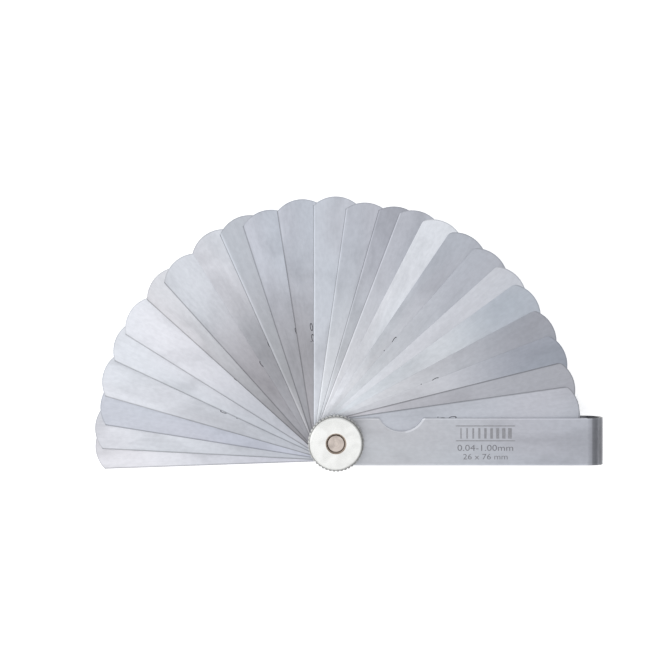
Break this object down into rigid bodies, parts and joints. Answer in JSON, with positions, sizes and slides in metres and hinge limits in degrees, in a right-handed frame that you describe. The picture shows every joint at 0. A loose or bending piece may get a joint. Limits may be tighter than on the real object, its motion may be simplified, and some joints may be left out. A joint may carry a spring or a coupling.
{
  "type": "feeler gauge",
  "caption": "Feeler gauge: a fan of ground steel leaves of stepped thickness, pivoted in a bent-strip steel case and clamped by a knurled nut.",
  "frame": {"origin": "on the pivot axis, in the outer face of the case's back plate, where the pivot screw's head meets it", "axes": "+X along the case to its bend; +Y the side the leaves fan out on; +Z along the pivot axis, out of the front plate to the knurled nut"},
  "size_m": [0.1463, 0.0785, 0.0209],
  "materials": {
    "leaf_steel": "ground, lightly oiled",
    "case_steel": "satin, ground along its length",
    "screw_steel": "turned",
    "washer_steel": "plated",
    "nut_plating": "satin nickel plating"
  },
  "bodies": {
    "case": {"case": "case_steel", "pivot_screw": "screw_steel"},
    "blade_1_00": {"blade_1_00": "leaf_steel"},
    "blade_0_90": {"blade_0_90": "leaf_steel"},
    "blade_0_80": {"blade_0_80": "leaf_steel"},
    "blade_0_70": {"blade_0_70": "leaf_steel"},
    "blade_0_65": {"blade_0_65": "leaf_steel"},
    "blade_0_60": {"blade_0_60": "leaf_steel"},
    "blade_0_55": {"blade_0_55": "leaf_steel"},
    "blade_0_50": {"blade_0_50": "leaf_steel"},
    "blade_0_45": {"blade_0_45": "leaf_steel"},
    "blade_0_40": {"blade_0_40": "leaf_steel"},
    "blade_0_38": {"blade_0_38": "leaf_steel"},
    "blade_0_35": {"blade_0_35": "leaf_steel"},
    "blade_0_33": {"blade_0_33": "leaf_steel"},
    "blade_0_30": {"blade_0_30": "leaf_steel"},
    "blade_0_28": {"blade_0_28": "leaf_steel"},
    "blade_0_25": {"blade_0_25": "leaf_steel"},
    "blade_0_23": {"blade_0_23": "leaf_steel"},
    "blade_0_20": {"blade_0_20": "leaf_steel"},
    "blade_0_18": {"blade_0_18": "leaf_steel"},
    "blade_0_15": {"blade_0_15": "leaf_steel"},
    "blade_0_13": {"blade_0_13": "leaf_steel"},
    "blade_0_10": {"blade_0_10": "leaf_steel"},
    "blade_0_08": {"blade_0_08": "leaf_steel"},
    "blade_0_06": {"blade_0_06": "leaf_steel"},
    "blade_0_05": {"blade_0_05": "leaf_steel"},
    "blade_0_04": {"blade_0_04": "leaf_steel"},
    "washer": {"washer": "washer_steel"},
    "knurled_nut": {"knurled_nut": "nut_plating"}
  },
  "joints": [
    {"name": "blade_1_00_swing", "type": "hinge", "parent": "case", "child": "blade_1_00", "pos_m": [0, 0, 0.00624], "axis": [0, 0, 1], "range_deg": [-182, 178]},
    {"name": "blade_0_90_swing", "type": "hinge", "parent": "case", "child": "blade_0_90", "pos_m": [0, 0, 0.00624], "axis": [0, 0, 1], "range_deg": [-177, 183]},
    {"name": "blade_0_80_swing", "type": "hinge", "parent": "case", "child": "blade_0_80", "pos_m": [0, 0, 0.00624], "axis": [0, 0, 1], "range_deg": [-171, 189]},
    {"name": "blade_0_70_swing", "type": "hinge", "parent": "case", "child": "blade_0_70", "pos_m": [0, 0, 0.00624], "axis": [0, 0, 1], "range_deg": [-164, 196]},
    {"name": "blade_0_65_swing", "type": "hinge", "parent": "case", "child": "blade_0_65", "pos_m": [0, 0, 0.00624], "axis": [0, 0, 1], "range_deg": [-155, 205]},
    {"name": "blade_0_60_swing", "type": "hinge", "parent": "case", "child": "blade_0_60", "pos_m": [0, 0, 0.00624], "axis": [0, 0, 1], "range_deg": [-148, 212]},
    {"name": "blade_0_55_swing", "type": "hinge", "parent": "case", "child": "blade_0_55", "pos_m": [0, 0, 0.00624], "axis": [0, 0, 1], "range_deg": [-138, 222]},
    {"name": "blade_0_50_swing", "type": "hinge", "parent": "case", "child": "blade_0_50", "pos_m": [0, 0, 0.00624], "axis": [0, 0, 1], "range_deg": [-132, 228]},
    {"name": "blade_0_45_swing", "type": "hinge", "parent": "case", "child": "blade_0_45", "pos_m": [0, 0, 0.00624], "axis": [0, 0, 1], "range_deg": [-122, 238]},
    {"name": "blade_0_40_swing", "type": "hinge", "parent": "case", "child": "blade_0_40", "pos_m": [0, 0, 0.00624], "axis": [0, 0, 1], "range_deg": [-114, 246]},
    {"name": "blade_0_38_swing", "type": "hinge", "parent": "case", "child": "blade_0_38", "pos_m": [0, 0, 0.00624], "axis": [0, 0, 1], "range_deg": [-108, 252]},
    {"name": "blade_0_35_swing", "type": "hinge", "parent": "case", "child": "blade_0_35", "pos_m": [0, 0, 0.00624], "axis": [0, 0, 1], "range_deg": [-99, 261]},
    {"name": "blade_0_33_swing", "type": "hinge", "parent": "case", "child": "blade_0_33", "pos_m": [0, 0, 0.00624], "axis": [0, 0, 1], "range_deg": [-90, 270]},
    {"name": "blade_0_30_swing", "type": "hinge", "parent": "case", "child": "blade_0_30", "pos_m": [0, 0, 0.00624], "axis": [0, 0, 1], "range_deg": [-82, 278]},
    {"name": "blade_0_28_swing", "type": "hinge", "parent": "case", "child": "blade_0_28", "pos_m": [0, 0, 0.00624], "axis": [0, 0, 1], "range_deg": [-74, 286]},
    {"name": "blade_0_25_swing", "type": "hinge", "parent": "case", "child": "blade_0_25", "pos_m": [0, 0, 0.00624], "axis": [0, 0, 1], "range_deg": [-69, 291]},
    {"name": "blade_0_23_swing", "type": "hinge", "parent": "case", "child": "blade_0_23", "pos_m": [0, 0, 0.00624], "axis": [0, 0, 1], "range_deg": [-63, 297]},
    {"name": "blade_0_20_swing", "type": "hinge", "parent": "case", "child": "blade_0_20", "pos_m": [0, 0, 0.00624], "axis": [0, 0, 1], "range_deg": [-56, 304]},
    {"name": "blade_0_18_swing", "type": "hinge", "parent": "case", "child": "blade_0_18", "pos_m": [0, 0, 0.00624], "axis": [0, 0, 1], "range_deg": [-49, 311]},
    {"name": "blade_0_15_swing", "type": "hinge", "parent": "case", "child": "blade_0_15", "pos_m": [0, 0, 0.00624], "axis": [0, 0, 1], "range_deg": [-42, 318]},
    {"name": "blade_0_13_swing", "type": "hinge", "parent": "case", "child": "blade_0_13", "pos_m": [0, 0, 0.00624], "axis": [0, 0, 1], "range_deg": [-36, 324]},
    {"name": "blade_0_10_swing", "type": "hinge", "parent": "case", "child": "blade_0_10", "pos_m": [0, 0, 0.00624], "axis": [0, 0, 1], "range_deg": [-28, 332]},
    {"name": "blade_0_08_swing", "type": "hinge", "parent": "case", "child": "blade_0_08", "pos_m": [0, 0, 0.00624], "axis": [0, 0, 1], "range_deg": [-21, 339]},
    {"name": "blade_0_06_swing", "type": "hinge", "parent": "case", "child": "blade_0_06", "pos_m": [0, 0, 0.00624], "axis": [0, 0, 1], "range_deg": [-14, 346]},
    {"name": "blade_0_05_swing", "type": "hinge", "parent": "case", "child": "blade_0_05", "pos_m": [0, 0, 0.00624], "axis": [0, 0, 1], "range_deg": [-7, 353]},
    {"name": "blade_0_04_swing", "type": "hinge", "parent": "case", "child": "blade_0_04", "pos_m": [0, 0, 0.00624], "axis": [0, 0, 1], "range_deg": [-8, 352]},
    {"name": "washer_lift", "type": "slide", "parent": "case", "child": "washer", "axis": [0, 0, 1], "range_m": [0, 0.0008]},
    {"name": "nut_turn", "type": "hinge", "parent": "washer", "child": "knurled_nut", "pos_m": [0, 0, 0.01597], "axis": [0, 0, 1], "range_deg": [0, 360]}
  ],
  "couplings": [
    {"joint": "washer_lift", "follows": "nut_turn", "m_per_rad": 0.00012732}
  ]
}
